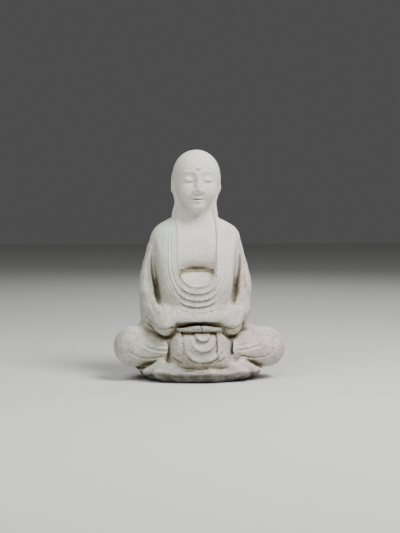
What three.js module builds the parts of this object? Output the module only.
// A monk seated in meditation, cast in one piece of white stone: shaven head, long ear lobes, a robe
// open in a deep U over the chest, sleeves meeting over the folded hands, crossed legs under the
// cloth, and a low base of spread hem. Millimetres, +Z up. The figure faces -Y, and the origin lies
// under the middle of the base.
import * as THREE from "three";

const { lerp: mix, smoothstep: ease } = THREE.MathUtils;

// Driving sizes. Every place below is written for a figure 220 high and scaled to HEIGHT at the end.
const DRAWN_HEIGHT = 220;
const HEIGHT = 220;
const CELL = 1.9; // spacing of the grid that the surface is first drawn on
const MOST_TRIANGLES = 9600;
const STONE = { color: 0xdcdcd3, roughness: 0.86, metalness: 0 };

// Outlines as rows of stations up the figure.
// Torso: height, half width, front, back.
const TORSO = [
  [40, 36, -30, 33],
  [60, 35.5, -40.5, 33],
  [76, 37, -41, 31.5],
  [92, 39, -40.5, 29.5],
  [108, 40, -36.5, 27.5],
  [124, 40, -30, 25],
  [136, 37.5, -24.5, 22.5],
  [144, 34, -20, 20],
  [151, 27, -16, 17.5],
  [157, 19, -12, 15],
  [164, 8, -6, 10],
];
// How far the bare chest lies behind the robe's front, by height.
const CHEST_INSET = [
  [86, 2],
  [89.5, 2.8],
  [92, 4.4],
  [95, 6],
  [98.5, 8.2],
  [101.5, 11.6],
  [103.5, 14.6],
  [105.5, 14.8],
  [108, 12.6],
  [111, 9.6],
  [114, 7.4],
  [118, 5.8],
  [124, 4.6],
  [132, 3.4],
  [148, 2.6],
  [170, 2],
];
const BASE = {
  foot: { halfWidth: 50.5, halfDepth: 41.5 },
  hem: { halfWidth: 63, halfDepth: 53 },
  middleY: -7,
  edge: 11,
  dome: 10,
  power: 2.25,
  crease: { height: 6.8, depth: 1.2 },
};

// Bunched folds of the hem that run out from under each shin: inner end, outer end.
const HEM_FOLDS = [
  [[25, -47, 16.5], [42, -45.5, 8.5]],
  [[37, -43, 17.5], [53, -37, 9.5]],
];

const NECKLINE = { halfWidth: 18.3, straightAbove: 117, sharpness: 0.7, power: 2.4, edge: 1.3 };
const PLEATS = { pitch: 6, growth: 1.27, count: 4, depth: 2, sideDepth: 0.45, lip: 0.84, top: 146 };

const NECK = { from: [0, 2.5, 146], to: [0, 1, 172], radii: [16.5, 15.5] };
const SKULL = { middle: [0, 0, 195.6], half: [23.1, 26, 24.4] };
const FACE = { middle: [0, -7.6, 180], half: [18.2, 19, 20] };

const SHOULDER = { from: [27.8, 0, 131.5], to: [37.6, -6, 108], radii: [14.2, 12] };
// The hanging sleeve: height, middle across, middle in depth, radius.
const SLEEVE = [
  [46, 39.5, -15, 10.4],
  [56, 40.4, -15, 10.8],
  [66, 41.2, -14.6, 11.2],
  [76, 42, -13.8, 11.6],
  [88, 42.9, -12, 12],
  [100, 41.2, -8.8, 12.3],
  [112, 37.4, -5, 12.3],
  [124, 33.6, -2, 12.4],
];
const FOREARM = { from: [39.4, -16, 67.4], to: [30.8, -40.5, 56.4], radii: [11.8, 12.2] };
const CUFF = { from: [30, -41, 60.5], to: [-4, -49.5, 59.6], radii: [8.5, 3.6] };
const CUFF_FALL = { middle: [29.6, -41.5, 53.5], half: [8, 10.6], up: 7, down: 8, power: 2.6 };
const SLEEVE_HOLLOW = { from: [46.4, -14, 114], to: [45.6, -22.6, 88], radii: [0.6, 2.6] };
// The valley between body and sleeve: height, middle across, half width, depth.
const ARM_VALLEY = [
  [66, 33.6, 1.6, 0],
  [75, 35.8, 2, 3],
  [84, 37.8, 2.6, 6],
  [98, 39.8, 3, 9.4],
  [112, 40.8, 2.7, 9],
  [122, 41, 2.2, 5.6],
  [134, 40.6, 1.6, 0],
];
// Creases pressed into the sleeve's front, as (x, z): along its hem, and down from the elbow.
const SLEEVE_CREASES = [
  [[47.5, 60], [36, 47], [24.5, 52.5], 0.8, 0.9],
  [[44, 74], [39, 62], [33, 53], 0.5, 1.8],
  [[37, 75], [30, 67], [18, 63.5], 0.5, 1.4],
];

const THIGH = { from: [28, 14, 32], to: [63, -22.5, 32.2], radii: [25, 18.2] };
const SHIN = { from: [63, -22.5, 32.2], to: [14, -38.5, 29], radii: [18.2, 13.2] };
const KNEE_DROP = 1.6; // the figure's left knee lies lower than its right
const SEAT = { middle: [0, 16, 28], half: [46, 29, 32] };
const LEG_FOLD = { depth: 1, width: 1.2 };
// Sagging folds over each shin: inner end, lowest pull, outer end, as (x, z).
const LEG_FOLDS = [
  [[31, 35], [43, 34], [53, 40]],
  [[31, 30.5], [47, 29], [57, 37]],
  [[32, 28.4], [51, 24], [63, 33]],
  [[34, 26], [55, 18.5], [70, 30]],
];

const APRON = { middle: [-1.5, -37.5, 29], half: [31.5, 22], up: 21, down: 16, power: 3 };
const APRON_GAP = 1;
// Each fold: half width, lowest point, how far it stands out, how far up it fades.
const APRON_FOLDS = [
  [6.8, 40.2, 5.4, 9.5],
  [10.5, 30.6, 3.6, 6.5],
  [15, 19.4, 2.6, 7],
];
const APRON_HEM = { middle: [0, -34, 20], half: [34, 25], up: 14, down: 11.2, power: 3 };
// Two straps hang over the lap, each ending in a tail of two slanting layers.
const STRAP = { middle: -3, inner: 15.4, stand: 1.1, groove: 0.6 };
const TAILS = [
  { end: 28.5, slant: 0.7, from: 19, outer: 23 },
  { end: 22.5, slant: 0.6, from: 21, outer: 26 },
];
const FINGERS = { middle: [0, -44.2, 51], half: [23.5, 9.6], up: 2, down: 4, power: 3 };
const THUMB = { from: [11, -49, 52], to: [1.2, -51.6, 53.4], radii: [1.6, 1.2] };
const HAND_SLOT = { middle: [0, -52, 54.8], half: [19.5, 7.5, 2.3] };

const BACK = { folds: 11, depth: 1.3, collar: 0.8, collarHeight: 149, swag: 1, swagPitch: 12 };

// Small shaping functions.

// The lower of two distances, with the crease between them rounded over the width k.
function blend(a, b, k) {
  const h = Math.max(k - Math.abs(a - b), 0) / k;
  return Math.min(a, b) - (h * h * k) / 4;
}

// What two forms share, and what is left of one form when the other is cut away.
const share = (a, b, k) => -blend(-a, -b, k);
const carve = (a, b, k) => share(a, -b, k);

const bump = (t) => Math.exp(-t * t);

// Distance to an ellipsoid, near its surface.
function egg([x, y, z], { middle: [cx, cy, cz], half: [rx, ry, rz] }) {
  const [dx, dy, dz] = [(x - cx) / rx, (y - cy) / ry, (z - cz) / rz];
  const k = Math.sqrt(dx * dx + dy * dy + dz * dz);
  const slope = Math.sqrt((dx / rx) ** 2 + (dy / ry) ** 2 + (dz / rz) ** 2);
  return slope < 1e-9 ? -Math.min(rx, ry, rz) : (k * (k - 1)) / slope;
}

// Distance to a limb: a round bar whose radius changes from one end to the other.
function limb([x, y, z], { from: a, to: b, radii: [ra, rb] }) {
  const [ux, uy, uz] = [b[0] - a[0], b[1] - a[1], b[2] - a[2]];
  const along = ((x - a[0]) * ux + (y - a[1]) * uy + (z - a[2]) * uz) / (ux * ux + uy * uy + uz * uz);
  const t = Math.min(Math.max(along, 0), 1);
  const [dx, dy, dz] = [x - a[0] - ux * t, y - a[1] - uy * t, z - a[2] - uz * t];
  return Math.sqrt(dx * dx + dy * dy + dz * dz) - mix(ra, rb, t);
}

// Distance to a cushion form, squarer than an ellipsoid seen from the front.
function pillow([x, y, z], { middle: [cx, cy, cz], half: [rx, ry], up, down, power: n }) {
  const rz = z > cz ? up : down;
  const flat = (Math.abs((x - cx) / rx) ** n + Math.abs((z - cz) / rz) ** n) ** (1 / n);
  return (Math.hypot(flat, (y - cy) / ry) - 1) * Math.min(ry, rz);
}

// One column of a table of stations at height z, on a smooth curve through the rows.
function station(rows, z, column) {
  const last = rows.length - 1;
  if (z <= rows[0][0]) return rows[0][column];
  if (z >= rows[last][0]) return rows[last][column];
  let i = 0;
  while (z > rows[i + 1][0]) i++;
  const slope = (j) => {
    const [low, high] = [rows[Math.max(j - 1, 0)], rows[Math.min(j + 1, last)]];
    return (high[column] - low[column]) / (high[0] - low[0]);
  };
  const step = rows[i + 1][0] - rows[i][0];
  const t = (z - rows[i][0]) / step;
  const [a, b, m, n] = [rows[i][column], rows[i + 1][column], slope(i) * step, slope(i + 1) * step];
  return a + t * (m + t * (3 * (b - a) - 2 * m - n + t * (2 * (a - b) + m + n)));
}

// An oval slice of the given half width, front and back, as a distance in its own plane.
function oval(x, y, halfWidth, front, back, power) {
  const [middle, depth] = [(front + back) / 2, (back - front) / 2];
  const r = (Math.abs(x / halfWidth) ** power + Math.abs((y - middle) / depth) ** power) ** (1 / power);
  return (r - 1) * Math.min(halfWidth, depth);
}

// Distance in the front view from (x, z) to a sagging fold line, positive below it.
function belowFold(x, z, [ax, az], [bx, bz], [cx, cz]) {
  const STEPS = 8;
  let [best, side] = [1e9, 1];
  let [px, pz] = [ax, az];
  for (let i = 1; i <= STEPS; i++) {
    const t = i / STEPS;
    const qx = (1 - t) ** 2 * ax + 2 * t * (1 - t) * bx + t * t * cx;
    const qz = (1 - t) ** 2 * az + 2 * t * (1 - t) * bz + t * t * cz;
    const [ux, uz] = [qx - px, qz - pz];
    const s = Math.min(Math.max(((x - px) * ux + (z - pz) * uz) / (ux * ux + uz * uz), 0), 1);
    const [dx, dz] = [x - px - ux * s, z - pz - uz * s];
    const d = Math.hypot(dx, dz);
    if (d < best) [best, side] = [d, Math.sign(ux * dz - uz * dx) || 1];
    [px, pz] = [qx, qz];
  }
  return -best * side;
}

// The robe.

// Rings shaped like the neckline: half width of the U through (x, z).
function neckRing(x, z) {
  const drop = Math.max(NECKLINE.straightAbove - z, 0) * NECKLINE.sharpness;
  return (Math.abs(x) ** NECKLINE.power + drop ** NECKLINE.power) ** (1 / NECKLINE.power);
}

// How far the robe's front stands out or lies in: open neck, its rolled edge, and U-shaped pleats.
function robeRelief([x, y, z]) {
  if (z < 56) return 0;
  if (y > 0) {
    const back = ease(y, 3, 10);
    const fade = ease(z, 56, 66) * (1 - ease(z, 84, 144));
    const folds = BACK.depth * fade * Math.cos(BACK.folds * Math.atan2(x, y + 14) + 0.02 * z);
    return back * (folds + BACK.collar * bump((z - BACK.collarHeight) / 2.2));
  }
  const front = 1 - ease(y, -9, -1);
  const ring = neckRing(x, z);
  const { halfWidth, edge } = NECKLINE;
  const open = 1 - ease(ring, halfWidth - edge, halfWidth + edge * 0.3);
  const side = Math.min(Math.abs(x) / halfWidth, 1);
  const bow = mix(0.25 * side ** 4, -0.62 * side ** 2, ease(z, 99, 107));
  const inset = open * station(CHEST_INSET, z - 1.5 * side ** 2, 1) * (1 + bow);
  const roll = 0.7 * bump((ring - halfWidth - 1.2) / 1.3);
  const k = (Math.max(ring - halfWidth, 0) / PLEATS.pitch) ** PLEATS.growth;
  if (ring < halfWidth || k > PLEATS.count) return front * (roll - inset);
  const along = k - Math.floor(k);
  const saw = along < PLEATS.lip ? (along / PLEATS.lip) ** 1.5 : (1 - along) / (1 - PLEATS.lip);
  // The pleats hang deep below the neck, and run on faintly up the sides.
  const drop = Math.max(NECKLINE.straightAbove - z, 0) * NECKLINE.sharpness;
  const deep = mix(PLEATS.sideDepth, PLEATS.depth, ease(drop / ring, 0.68, 0.98));
  const outermost = ease(k, PLEATS.count - 1.2, PLEATS.count);
  const fade = (1 - ease(z, 138, PLEATS.top)) * (1 - outermost * (0.4 + 0.6 * ease(Math.abs(x), 16, 26)));
  return front * (roll - inset + deep * fade * (saw - 0.4));
}

function torso(p) {
  const [x, y, z] = p;
  const [halfWidth, front, back] = [1, 2, 3].map((column) => station(TORSO, z, column));
  // The body is squarer in front, where its edge stands clear of the arm.
  const squareness = y < (front + back) / 2 ? mix(3.1, 2.35, ease(z, 116, 136)) : 2.35;
  const slice = oval(x, y, halfWidth, front, back, squareness);
  return share(slice, Math.max(z - 165, 36 - z), 4) - robeRelief(p);
}

// An arm in its wide sleeve.
function arm(p) {
  const [x, y, z] = p;
  const [across, deep, radius] = [1, 2, 3].map((column) => station(SLEEVE, z, column));
  const hanging = share(Math.hypot(x - across, y - deep) - radius, Math.max(z - 126, 46 - z), 6);
  let d = blend(blend(limb(p, SHOULDER), hanging, 5), limb(p, FOREARM), 7);
  // The cuff runs in to the hands and falls straight down beside them.
  d = blend(blend(d, limb(p, CUFF), 4), pillow(p, CUFF_FALL), 4);
  if (z > 82 || y > -14) return d;
  for (const [from, pull, to, depth, width] of SLEEVE_CREASES)
    d += depth * bump(belowFold(x, z, from, pull, to) / width) * (1 - ease(y, -22, -14));
  return d;
}

// The head.

function ear(p) {
  const shell = egg(p, { middle: [21.4, 2, 188.5], half: [2.6, 6.2, 9] });
  const upper = limb(p, { from: [20.4, 0, 184], to: [17.4, -1.5, 169], radii: [3, 2.9] });
  const lobe = limb(p, { from: [17.4, -1.5, 169], to: [19, -3.5, 157.5], radii: [2.9, 3.4] });
  const bowl = egg(p, { middle: [24.6, -0.4, 188.6], half: [2.7, 3.2, 5.6] });
  return carve(blend(shell, Math.min(upper, lobe), 4), bowl, 1.2);
}

function face(p) {
  const [x, y, z] = p;
  let d = blend(egg(p, FACE), egg(p, { middle: [0, -19.3, 165], half: [7.6, 6.2, 4.8] }), 6);
  d = blend(d, egg(p, SKULL), 7);
  if (y > -2) return d;
  d = blend(d, egg(p, { middle: [10, -17, 179.5], half: [7.6, 8.2, 9] }), 6);
  d = carve(d, egg(p, { middle: [8.8, -29.6, 190.8], half: [6.8, 4.7, 5.2] }), 4.5);
  d = blend(d, egg(p, { middle: [8.8, -21.3, 190.2], half: [5.1, 4.4, 3.4] }), 1.2);
  d = blend(d, limb(p, { from: [0, -24.4, 195.5], to: [0, -28, 181], radii: [1.8, 2.9] }), 3.4);
  d = blend(d, egg(p, { middle: [3.2, -26, 179.6], half: [2.1, 2.7, 2.1] }), 2.2);
  d = blend(d, limb(p, { from: [1, -25.9, 173.6], to: [5.6, -24, 172.9], radii: [1.5, 0.8] }), 1.6);
  d = blend(d, limb(p, { from: [0, -25, 170.3], to: [4.2, -23.8, 170.7], radii: [2, 1.2] }), 1.6);
  // The arch of each brow, the line of the closed lids, and the line of the mouth.
  const brow = z - (198.4 - 0.04 * (x - 8.6) ** 2);
  d -= 0.55 * bump(brow / 1.3) * ease(x, 1, 4) * (1 - ease(x, 13, 17));
  const lid = z - (188.2 + 0.05 * (x - 8.8) ** 2);
  d += 0.6 * bump(lid / 0.75) * (1 - ease(Math.abs(x - 8.8), 3.8, 5.8));
  const mouth = z - (171.9 + 0.014 * x * x);
  return d + 0.75 * bump(mouth / 0.6) * (1 - ease(x, 5.2, 7.6));
}

function head(p) {
  let d = blend(face(p), limb(p, NECK), 3);
  d = blend(d, ear(p), 3.5);
  const bead = egg(p, { middle: [0, -25.6, 201.5], half: [1.6, 1.4, 1.6] });
  return blend(d, bead, 0.8);
}

// The lower body.

function legs([x, y, height], lower) {
  const z = height + lower * ease(x, 40, 62);
  const p = [x, y, z];
  let d = blend(limb(p, THIGH), limb(p, SHIN), 6);
  d = blend(d, egg(p, SEAT), 12);
  // Behind, the cloth sags from hip to hip.
  if (y > 10) {
    const round = (z + 7 * Math.cos(Math.atan2(x, y) * 1.6)) / BACK.swagPitch;
    const fade = ease(y, 12, 30) * ease(z, 16, 24) * (1 - ease(z, 48, 58));
    d += BACK.swag * Math.sin(2 * Math.PI * round) * fade;
  }
  if (y < 2 && x > 22 && z < 58) {
    const front = 1 - ease(y, -14, 2);
    for (const [inner, low, outer] of LEG_FOLDS) {
      const t = belowFold(x, z, inner, low, outer) / LEG_FOLD.width;
      const ends = ease(x, inner[0] - 2, inner[0] + 6) * (1 - ease(x, outer[0] - 5, outer[0] + 3));
      d += front * ends * LEG_FOLD.depth * (bump(t) - 0.5 * bump((t - 2.6) / 1.9));
    }
  }
  return d;
}

// The cloth hanging from the lap: nested sagging folds between two straight pleats.
function apron(p) {
  const [x, y, z] = p;
  const d = pillow(p, APRON);
  if (y > -34) return d;
  const ax = Math.abs(x);
  let out = 0;
  for (const [halfWidth, low, height, reach] of APRON_FOLDS) {
    const t = z - low - 0.5 * halfWidth * (ax / halfWidth) ** 2.4;
    const inFold = ease(t, -1.4, 1) * (1 - ease(t, 0.6, reach));
    out += height * inFold * (1 - ease(ax, halfWidth * 0.7, halfWidth * 1.25));
  }
  const across = Math.abs(x - STRAP.middle);
  const strap = STRAP.stand * ease(across, STRAP.inner + 0.2, STRAP.inner + 1.8);
  for (const { end, slant, from, outer } of TAILS) {
    const height = z - end - slant * (across - from);
    out += strap * (1 - ease(across, outer - 3, outer + 1)) * ease(height, -0.7, 0.7);
  }
  out -= STRAP.groove * bump((across - STRAP.inner) / 0.8) * ease(z, 26, 30);
  return d - out;
}

function hands(p) {
  const [x, y, z] = p;
  const creases = 0.6 * bump(x / 0.6) + 0.3 * bump((z - 50.4 - 0.006 * x * x) / 0.5);
  return blend(pillow(p, FINGERS) + creases, limb([Math.abs(x), y, z], THUMB), 1.5);
}

// The hem spread on the ground: an oval slab, undercut below its edge, with radiating folds on top.
function base(p) {
  const [x, y, z] = p;
  const { foot, hem, middleY, edge, crease } = BASE;
  const angle = Math.atan2(x / hem.halfWidth, -(y - middleY) / hem.halfDepth);
  const up = Math.min(Math.max(z / edge, 0), 1);
  const spread = up ** 0.9;
  const wave = 1 + up * (0.012 * Math.sin(angle * 9 + 1) + 0.01 * Math.sin(angle * 14));
  const w = mix(foot.halfWidth, hem.halfWidth, spread) * wave;
  const d = mix(foot.halfDepth, hem.halfDepth, spread) * wave;
  let slab = oval(x, y, w, middleY - d, middleY + d, BASE.power);
  const reach = Math.min(Math.max(1 + slab / Math.min(w, d), 0), 1);
  // A crease parts the hem's edge from the band below it.
  const creaseHeight = crease.height + 0.7 * Math.cos(angle * 9);
  slab += crease.depth * bump((z - creaseHeight) / 0.9) * (1 - ease(y, -10, 10));
  const front = 1 - ease(y, -30, -10);
  const sides = ease(Math.abs(angle), 0.55, 0.8);
  const swing = 0.8 + 1.5 * sides * (1 - 0.6 * ease(y, 0, 25));
  const folds = swing * Math.cos(angle * 15 + 4 * reach) * ease(reach, 0.55, 0.9);
  // In front the hem lies in two layers, the upper one drawn back from the edge in waves.
  const drawnBack = 0.02 * Math.cos(angle * 11);
  const layer = 3.2 * front * (1 - ease(reach, 0.9 + drawnBack, 0.93 + drawnBack));
  const top = edge - 1.2 * front + BASE.dome * (1 - reach ** 2.5) + folds + layer;
  let out = share(slab, z - top, 1.8);
  for (const [from, to] of HEM_FOLDS)
    out = blend(out, limb([Math.abs(x), y, z], { from, to, radii: [5.6, 3.6] }), 3.4);
  return out;
}

// How far the hand-made figure leans to one side, by height.
const LEAN = [
  [0, -0.5],
  [10, 0.8],
  [22, 0.2],
  [45, 0],
  [62, -3],
  [90, -3],
  [112, -2.8],
  [126, -2.3],
  [142, -1.6],
  [158, -2.6],
  [172, -1.6],
  [190, -0.9],
  [225, -1.1],
];

// The whole figure: negative inside the stone.
function figure([leaning, y, z]) {
  const x = leaning - station(LEAN, z, 1);
  const p = [x, y, z];
  const m = [Math.abs(x), y, z];
  // The robe closes over the armpit: softly at the shoulder and waist, and fully behind.
  const inFront = mix(mix(10, 2, ease(z, 62, 80)), 11, ease(z, 108, 140));
  const joint = mix(inFront, 15, ease(y, -8, 10));
  let d = torso(p);
  if (z > 124) d = blend(d, head(m), 4);
  d = blend(d, arm([Math.abs(x + 2.6 * (1 - ease(z, 50, 66))), y, z]), joint);
  const [middle, halfWidth, depth] = [1, 2, 3].map((column) => station(ARM_VALLEY, z, column));
  d += depth * (1 - ease(y, -14, -5)) * bump((m[0] - middle) / halfWidth);
  d = carve(d, limb(m, SLEEVE_HOLLOW), 3);
  if (z < 80) {
    const side = ease(m[0], 38, 47);
    const cloth = apron(p);
    const lower = carve(legs(m, x > 0 ? KNEE_DROP : 0), Math.max(cloth - APRON_GAP, y + 43), 2);
    d = blend(d, blend(lower, base(p), 1.6), mix(1.2, 9, side));
    d = blend(d, blend(cloth, pillow(p, APRON_HEM), 1), 1);
    d = carve(d, egg(p, HAND_SLOT), 1);
    d = blend(d, hands(p), 0.8);
  }
  return Math.max(d, -z);
}

// The corners of a grid cell, numbered by their bits, and whether a set of corners hangs together.
const CORNERS = [0, 1, 2, 3, 4, 5, 6, 7];
function joined(mask) {
  let reached = mask & -mask;
  for (let round = 0; round < 4; round++)
    for (const c of CORNERS)
      for (const bit of [1, 2, 4])
        if (reached & (1 << c) && mask & (1 << (c ^ bit))) reached |= 1 << (c ^ bit);
  return reached === mask;
}
const CLEAN = Array.from({ length: 256 }, (_, mask) => joined(mask) && joined(255 - mask));

// The surface: a grid of samples, one vertex in each cell that the surface crosses, one quad round
// each grid edge that it crosses.
function draw(field, low, high, cell) {
  const n = low.map((v, i) => Math.ceil((high[i] - v) / cell) + 1);
  const stride = [1, n[0], n[0] * n[1]];
  const at = (i, j, k) => i + j * stride[1] + k * stride[2];
  const value = new Float32Array(n[0] * n[1] * n[2]);
  for (let k = 0; k < n[2]; k++)
    for (let j = 0; j < n[1]; j++)
      for (let i = 0; i < n[0]; i++)
        value[at(i, j, k)] = field([low[0] + i * cell, low[1] + j * cell, low[2] + k * cell]) || 1e-6;
  const offset = CORNERS.map((c) => at(c & 1, (c >> 1) & 1, c >> 2));
  const maskOf = (here) => CORNERS.reduce((mask, c) => mask | ((value[here + offset[c]] < 0) << c), 0);
  const eachCell = (visit) => {
    for (let k = 0; k < n[2] - 1; k++)
      for (let j = 0; j < n[1] - 1; j++)
        for (let i = 0; i < n[0] - 1; i++) visit(at(i, j, k), [i, j, k]);
  };
  // Where a cell's inside or outside falls apart, the surface would pinch, so a corner is filled in.
  for (let pinched = true; pinched; ) {
    pinched = false;
    eachCell((here) => {
      if (CLEAN[maskOf(here)]) return;
      const outside = offset.filter((o) => value[here + o] >= 0);
      const nearest = outside.reduce((a, b) => (value[here + a] <= value[here + b] ? a : b));
      value[here + nearest] = -0.02 * cell;
      pinched = true;
    });
  }
  const vertexOf = new Int32Array(value.length).fill(-1);
  const points = [];
  eachCell((here, place) => {
    const mask = maskOf(here);
    if (mask === 0 || mask === 255) return;
    const sum = [0, 0, 0];
    let hits = 0;
    for (const a of CORNERS)
      for (const axis of [0, 1, 2]) {
        const b = a | (1 << axis);
        if (b === a || ((mask >> a) & 1) === ((mask >> b) & 1)) continue;
        const [va, vb] = [value[here + offset[a]], value[here + offset[b]]];
        for (const other of [0, 1, 2]) sum[other] += (a >> other) & 1;
        sum[axis] += va / (va - vb);
        hits++;
      }
    vertexOf[here] = points.length;
    points.push(place.map((g, axis) => low[axis] + cell * (g + sum[axis] / hits)));
  });
  const faces = [];
  eachCell((here, place) => {
    if (place.includes(0)) return;
    const inside = value[here] < 0;
    for (const axis of [0, 1, 2]) {
      if (inside === value[here + stride[axis]] < 0) continue;
      const [u, w] = [stride[(axis + 1) % 3], stride[(axis + 2) % 3]];
      const ring = [here, here - u, here - u - w, here - w].map((c) => vertexOf[c]);
      if (!inside) ring.reverse();
      faces.push([ring[0], ring[1], ring[2]], [ring[0], ring[2], ring[3]]);
    }
  });
  return { points, faces };
}

const minus = (a, b) => [a[0] - b[0], a[1] - b[1], a[2] - b[2]];
const dot = (a, b) => a[0] * b[0] + a[1] * b[1] + a[2] * b[2];
const cross = (a, b) => [a[1] * b[2] - a[2] * b[1], a[2] * b[0] - a[0] * b[2], a[0] * b[1] - a[1] * b[0]];

// Keeps the outer skin, the largest connected run of faces, so no bubble is left inside the stone.
function outerSkin({ points, faces }) {
  const root = points.map((_, v) => v);
  const find = (v) => {
    while (root[v] !== v) v = root[v] = root[root[v]];
    return v;
  };
  for (const [a, b, c] of faces) {
    root[find(a)] = find(b);
    root[find(b)] = find(c);
  }
  const size = new Map();
  for (const [a] of faces) size.set(find(a), (size.get(find(a)) ?? 0) + 1);
  const skin = [...size.keys()].reduce((best, v) => (size.get(v) > size.get(best) ? v : best));
  return { points, faces: faces.filter(([a]) => find(a) === skin) };
}

// Moves each point onto the surface, along the field's own slope.
function settle(points, field, rounds) {
  const H = 0.05;
  for (const p of points)
    for (let round = 0; round < rounds; round++) {
      const d = field(p);
      const slope = [0, 1, 2].map((axis) => {
        const q = [...p];
        q[axis] += H;
        return (field(q) - d) / H;
      });
      const steep = Math.max(dot(slope, slope), 0.2);
      const step = Math.min(Math.max(d / steep, -CELL / 3), CELL / 3);
      for (let axis = 0; axis < 3; axis++) p[axis] -= slope[axis] * step;
    }
}

// Thins the mesh to a number of triangles. Edges whose loss moves the surface least go first, by
// the sum of squared distances to the planes that met there.
function thin({ points, faces }, most) {
  const quadric = points.map(() => new Float64Array(10));
  const around = points.map(() => new Set());
  const alive = faces.map(() => true);
  const normalOf = (a, b, c) => cross(minus(points[b], points[a]), minus(points[c], points[a]));
  faces.forEach((f, index) => {
    const area = normalOf(...f);
    const size = Math.sqrt(dot(area, area)) || 1e-12;
    const [nx, ny, nz] = area.map((v) => v / size);
    const w = -dot([nx, ny, nz], points[f[0]]);
    const plane = [nx * nx, nx * ny, nx * nz, nx * w, ny * ny, ny * nz, ny * w, nz * nz, nz * w, w * w];
    for (const v of f) {
      around[v].add(index);
      plane.forEach((q, i) => (quadric[v][i] += q * size));
    }
  });
  const neighbours = (v) => {
    const found = new Set();
    for (const f of around[v]) for (const u of faces[f]) if (u !== v) found.add(u);
    return found;
  };
  const cost = (q, [x, y, z]) =>
    q[0] * x * x + 2 * q[1] * x * y + 2 * q[2] * x * z + 2 * q[3] * x + q[4] * y * y +
    2 * q[5] * y * z + 2 * q[6] * y + q[7] * z * z + 2 * q[8] * z + q[9];
  const bestPlace = (a, b) => {
    const q = quadric[a].map((v, i) => v + quadric[b][i]);
    const middle = points[a].map((v, i) => (v + points[b][i]) / 2);
    // A light pull to the middle keeps the answer near the edge where the surface is flat.
    const pull = 1e-3 * (q[0] + q[4] + q[7]) + 1e-9;
    const m = [[q[0] + pull, q[1], q[2]], [q[1], q[4] + pull, q[5]], [q[2], q[5], q[7] + pull]];
    const right = [q[3], q[6], q[8]].map((v, i) => pull * middle[i] - v);
    const [c0, c1, c2] = [0, 1, 2].map((i) => [m[0][i], m[1][i], m[2][i]]);
    const det = dot(c0, cross(c1, c2));
    const scaled = [dot(right, cross(c1, c2)), dot(c0, cross(right, c2)), dot(c0, cross(c1, right))];
    const place = scaled.map((v) => v / det);
    const length = Math.hypot(...minus(points[a], points[b]));
    return { place, price: Math.max(cost(q, place), 0) + 1e-4 * length * length };
  };
  const heap = [];
  const stamp = new Int32Array(points.length);
  const push = (item) => {
    let i = heap.push(item) - 1;
    for (let up = (i - 1) >> 1; i > 0 && heap[up].price > item.price; up = (i - 1) >> 1) {
      heap[i] = heap[up];
      i = up;
    }
    heap[i] = item;
  };
  const pop = () => {
    const top = heap[0];
    const item = heap.pop();
    if (!heap.length) return top;
    let i = 0;
    for (let next = 1; next < heap.length; next = 2 * i + 1) {
      if (next + 1 < heap.length && heap[next + 1].price < heap[next].price) next++;
      if (heap[next].price >= item.price) break;
      heap[i] = heap[next];
      i = next;
    }
    heap[i] = item;
    return top;
  };
  const offer = (a, b) => push({ a, b, ...bestPlace(a, b), stamps: stamp[a] + stamp[b] });
  points.forEach((_, v) => neighbours(v).forEach((u) => v < u && offer(v, u)));
  let left = faces.length;
  while (left > most && heap.length) {
    const { a, b, place, stamps } = pop();
    if (stamps !== stamp[a] + stamp[b] || !around[a].size || !around[b].size) continue;
    const shared = [...around[a]].filter((f) => around[b].has(f));
    const common = [...neighbours(a)].filter((v) => neighbours(b).has(v));
    if (shared.length !== 2 || common.length !== 2) continue;
    // An edge stays where its loss would turn a face over or leave it a sliver.
    const turns = [a, b].some((v) =>
      [...around[v]].some((f) => {
        if (shared.includes(f)) return false;
        const old = normalOf(...faces[f]);
        const moved = faces[f].map((u) => (u === v ? place : points[u]));
        const now = cross(minus(moved[1], moved[0]), minus(moved[2], moved[0]));
        const longest = Math.max(...moved.map((q, i) => Math.hypot(...minus(q, moved[(i + 1) % 3]))));
        const area = Math.sqrt(dot(now, now));
        return dot(old, now) < 0.3 * Math.sqrt(dot(old, old)) * area || area < 0.08 * longest * longest;
      }),
    );
    if (turns) continue;
    points[a] = place;
    quadric[b].forEach((v, i) => (quadric[a][i] += v));
    for (const f of shared) {
      alive[f] = false;
      for (const v of faces[f]) around[v].delete(f);
    }
    for (const f of around[b]) {
      faces[f] = faces[f].map((v) => (v === b ? a : v));
      around[a].add(f);
    }
    around[b].clear();
    left -= 2;
    stamp[a] += points.length;
    for (const v of neighbours(a)) offer(a, v);
  }
  return { points, faces: faces.filter((_, i) => alive[i]) };
}

// The casting as one mesh, moved so that the origin is under the middle of its box.
function castStatue() {
  const drawn = outerSkin(draw(figure, [-86, -66, -4.1], [86, 54, 226], CELL));
  settle(drawn.points, figure, 3);
  const { points, faces } = thin(drawn, MOST_TRIANGLES);
  const geometry = new THREE.BufferGeometry();
  geometry.setAttribute("position", new THREE.Float32BufferAttribute(points.flat(), 3));
  geometry.setIndex(faces.flat());
  const scale = HEIGHT / DRAWN_HEIGHT;
  geometry.scale(scale, scale, scale);
  geometry.computeBoundingBox();
  const { min, max } = geometry.boundingBox;
  geometry.translate(-(min.x + max.x) / 2, -(min.y + max.y) / 2, -min.z);
  const flat = geometry.toNonIndexed();
  flat.computeVertexNormals();
  return flat;
}

const statue = new THREE.Mesh(castStatue(), new THREE.MeshStandardMaterial(STONE));
statue.name = "statue";

const part = new THREE.Group();
part.add(statue);

export default part;
